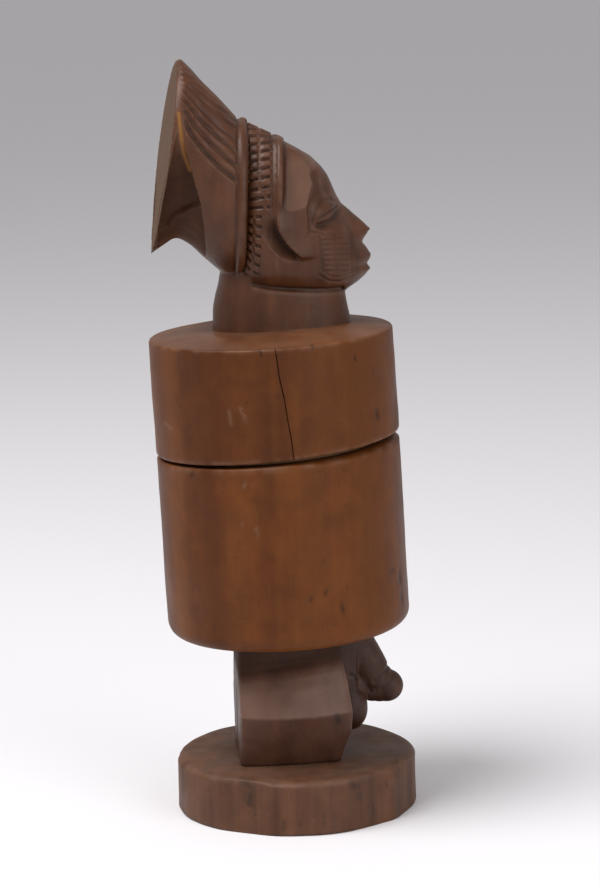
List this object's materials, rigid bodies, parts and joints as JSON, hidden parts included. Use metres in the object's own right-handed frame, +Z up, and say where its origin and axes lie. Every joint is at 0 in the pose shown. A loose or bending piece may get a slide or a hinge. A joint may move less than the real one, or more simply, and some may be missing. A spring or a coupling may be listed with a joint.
{
  "type": "carved figure box",
  "caption": "Carved wooden fertility figure on a round base, whose drum-shaped body is a box with a lift-off lid that carries the head.",
  "frame": {"origin": "centre of the base's underside, where the figure stands", "axes": "+Z up, the figure faces -Y and its left side is +X"},
  "size_m": [0.1, 0.1063, 0.3091],
  "materials": {
    "base_wood": "worn oil finish, a little dusty",
    "leg_wood": "satin varnish over chisel facets",
    "drum_wood": "polished brown varnish",
    "head_wood": "satin varnish, raw cut at the back",
    "plain_wood": "unvarnished, matt"
  },
  "bodies": {
    "figure_base": {"base_plinth": "base_wood", "leg_block": "leg_wood", "front_peg": "leg_wood", "container_drum": "drum_wood", "foot_dowels": "plain_wood", "hip_dowels": "plain_wood"},
    "lid": {"lid_drum": "drum_wood", "lid_plug": "plain_wood", "head_carving": "head_wood", "neck_dowel": "plain_wood"}
  },
  "joints": [
    {"name": "lid_lift", "type": "slide", "parent": "figure_base", "child": "lid", "axis": [0, 0.0401, 0.9992], "range_m": [0, 0.06]}
  ]
}
